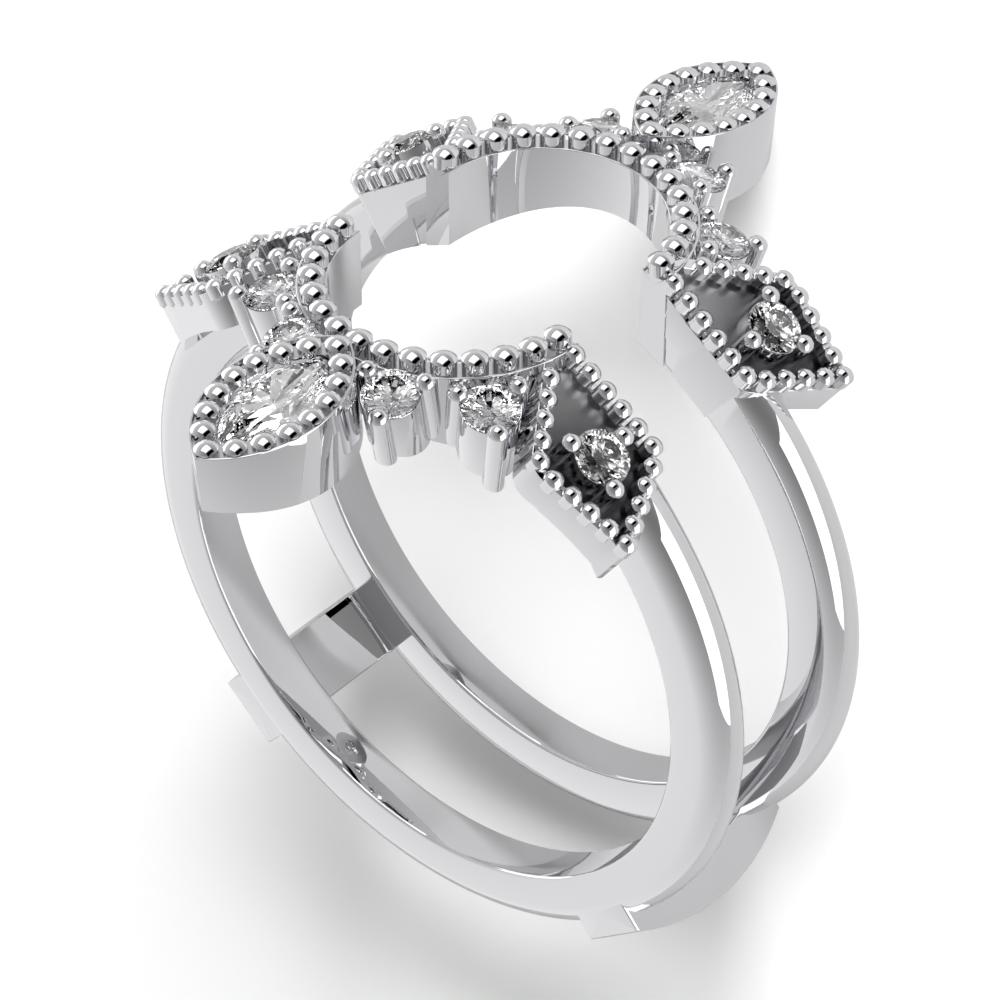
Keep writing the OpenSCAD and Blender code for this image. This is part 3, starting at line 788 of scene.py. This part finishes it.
def stagePlane(name, corners, material, seen):
    mesh = bpy.data.meshes.new(name)
    mesh.from_pydata([tuple(c) for c in corners], [], [(0, 1, 2, 3)])
    mesh.materials.append(material)
    return addStage(name, mesh, seen)


def glow(name, strength):
    material, tree = newMaterial(name)
    addShader(tree, "ShaderNodeEmission", {"Color": (1, 1, 1, 1), "Strength": strength})
    return material


def sheetPlane(name, paintName, half, z, colour, seen):  # matt card, seen by some rays alone; white for the sheet, painted grey as shade for its mirrored copy
    material, tree = newMaterial(paintName)
    addShader(tree, "ShaderNodeBsdfPrincipled", {
        "Base Color": toLinear(colour), "Roughness": studio["sheetRoughness"]})
    corners = [(-half, -half, z), (half, -half, z), (half, half, z), (-half, half, z)]
    stagePlane(name, corners, material, seen)


sheetPlane("white sheet", "matt white sheet", studio["sheetHalf"], studio["sheetZ"],
           studio["sheetColour"], ("camera", "diffuse", "shadow"))
# the copy that the metal mirrors is painted grey, darker than the sheet, as painted shade in its
# reflections
sheetPlane("sheet nearby, painted grey as shade", "matt sheet as mirrored, painted grey as shade", studio["mirroredHalf"],
           studio["mirroredZ"], studio["mirroredShadeColour"], ("glossy", "transmission"))

# the room's brightness is middle + slope . direction, with the slope in the upright ring's frame: it
# gets darker over the head and to the right, and brighter under the bands and to the left
world = bpy.data.worlds.new("studio")
scene.world = world
world.use_nodes = True
world.cycles_visibility.diffuse = False  # only the two sheet lights light the sheet, for a soft shadow
room = world.node_tree
room.nodes.clear()
slope = ringDirection(*studio["roomSlope"]) * np.linalg.norm(studio["roomSlope"])
looked = addNode(room, "ShaderNodeTexCoord").outputs["Generated"]
rise = addNode(room, "ShaderNodeVectorMath", {
    "operation": "DOT_PRODUCT", 1: tuple(slope)}, {0: looked})
bright = addNode(room, "ShaderNodeMath", {
    "operation": "ADD", 1: studio["roomMiddle"]}, {0: rise.outputs["Value"]})
light = addNode(room, "ShaderNodeBackground", {"Color": (1, 1, 1, 1)}, {"Strength": bright.outputs[0]})
addNode(room, "ShaderNodeOutputWorld", links={"Surface": light.outputs[0]})

# the stones' flat tables would mirror the panels whole and turn grey, so these light the metal alone
metalPieces = bpy.data.collections.new("metal pieces")
for piece in scene.objects:
    if piece.type == "MESH" and piece.active_material in (whiteGold, shadedFloorGold):
        metalPieces.objects.link(piece)

# flat panels that face the ring: place in degrees round the upright ring, from +X towards +Y and up,
# width and height in degrees, strength, distance in metres and the rays that see it
lightPanels = {
    "overhead white square": (180, 80.5, 46, 39, 1.9, 0.8, "glossy"),
    "dark card": (0, 65, 50, 20, 0.0, 0.7, "glossy"),
    "right soft box": (17, 2, 85, 62, 1.9, 0.8, "glossy"),
    "left soft box": (176, 13, 56, 30, 1.9, 0.8, "glossy"),
    # soft lamps that light the sheet alone: a strong one low beyond the head, which leaves the long
    # soft shadow, and a wide weak one above
    "sheet lamp": (15, 78, 50, 50, 14.5, 0.5, "diffuse"),
    "sheet fill": (270, 0, 100, 100, 0.54, 0.6, "diffuse"),
}
panelAim = (0.0, 0.0, 5.0)  # in the upright ring, between the finger axis and the head


def lightPanel(name, longitude, latitude, width, height, strength, distance, kind):
    lon, lat = math.radians(longitude), math.radians(latitude)
    n = ringDirection(math.cos(lat) * math.cos(lon), math.cos(lat) * math.sin(lon), math.sin(lat))
    side = ringDirection(-math.sin(lon), math.cos(lon), 0)
    up = np.cross(n, side)
    centre = toRow(np.array(panelAim)) + n * distance
    a, b = (distance * math.tan(math.radians(d / 2)) for d in (width, height))
    corners = [centre + x * a * side + y * b * up for x, y in ((-1, -1), (1, -1), (1, 1), (-1, 1))]
    panel = stagePlane(name, corners, glow(name, strength), (kind,))
    if kind == "glossy":
        panel.light_linking.receiver_collection = metalPieces


for name, values in lightPanels.items():
    lightPanel(name, *values)

# stones mirror the room in small flashes, so the room that they alone see is a dome of cells
sparkle = {
    "rows": 18, "columns": 44, "radius": 0.9, "white": 3.6, "grey": 0.9, "black": 0.01,
    "whiteShare": 0.5, "greyShare": 0.14, "seed": 4,
}


def sparkleDome(sizes):
    # a sphere by latitude and longitude, whose cells are white, grey or black by chance
    lat = np.linspace(-math.pi / 2, math.pi / 2, sizes["rows"] + 1)
    lon = np.linspace(0, 2 * math.pi, sizes["columns"], endpoint=False)
    points = sizes["radius"] * np.stack([
        np.cos(lat)[:, None] * np.cos(lon), np.cos(lat)[:, None] * np.sin(lon),
        np.broadcast_to(np.sin(lat)[:, None], (len(lat), len(lon)))], axis=-1)
    faces = gridQuads(len(lat), len(lon))[:, [0, 3, 2, 1]]
    mesh = bpy.data.meshes.new("sparkle dome")
    mesh.from_pydata(points.reshape(-1, 3).tolist(), [], faces.tolist())
    for shade in ("white", "grey", "black"):
        mesh.materials.append(glow(shade + " cell", sizes[shade]))
    chance = np.random.default_rng(sizes["seed"]).random(len(faces))
    notWhite = np.where(chance < sizes["whiteShare"] + sizes["greyShare"], 1, 2)
    cellKind = np.where(chance < sizes["whiteShare"], 0, notWhite)
    mesh.polygons.foreach_set("material_index", cellKind.astype(np.int32))
    addStage("sparkle dome", mesh, ("transmission",))


sparkleDome(sparkle)
print("table, room and lights ready")

cameraFit = {
    "lens": 141.896, "sensor": 36.0, "near": 0.001, "far": 20.0,
    "turn": (2.148, 0.7943, -0.3704), "shift": (-0.0217, 1.4488, 109.807),
}


def addCamera(fit):
    # the turn is a rotation vector that takes the upright ring's frame to right, down and ahead
    v = np.array(fit["turn"])
    angle = np.linalg.norm(v)
    k = v / angle
    cross = np.array([[0, -k[2], k[1]], [k[2], 0, -k[0]], [-k[1], k[0], 0]])
    m = np.eye(3) + math.sin(angle) * cross + (1 - math.cos(angle)) * cross @ cross
    eye = toRow(-m.T @ np.array(fit["shift"]))
    data = bpy.data.cameras.new("camera")
    data.lens, data.sensor_width = fit["lens"], fit["sensor"]
    data.clip_start, data.clip_end = fit["near"], fit["far"]
    camera = bpy.data.objects.new("camera", data)
    scene.collection.objects.link(camera)
    matrix = np.eye(4)
    right, upward, behind = ringDirection(*m[0]), -ringDirection(*m[1]), -ringDirection(*m[2])
    matrix[:3] = np.stack([right, upward, behind, eye], axis=1)
    camera.matrix_world = Matrix(matrix.tolist())
    scene.camera = camera


addCamera(cameraFit)
scene.view_settings.view_transform = "Standard"
scene.cycles.use_denoising = True
scene.cycles.max_bounces = 24
scene.cycles.transmission_bounces = 24
scene.cycles.glossy_bounces = 8
print("camera ready")
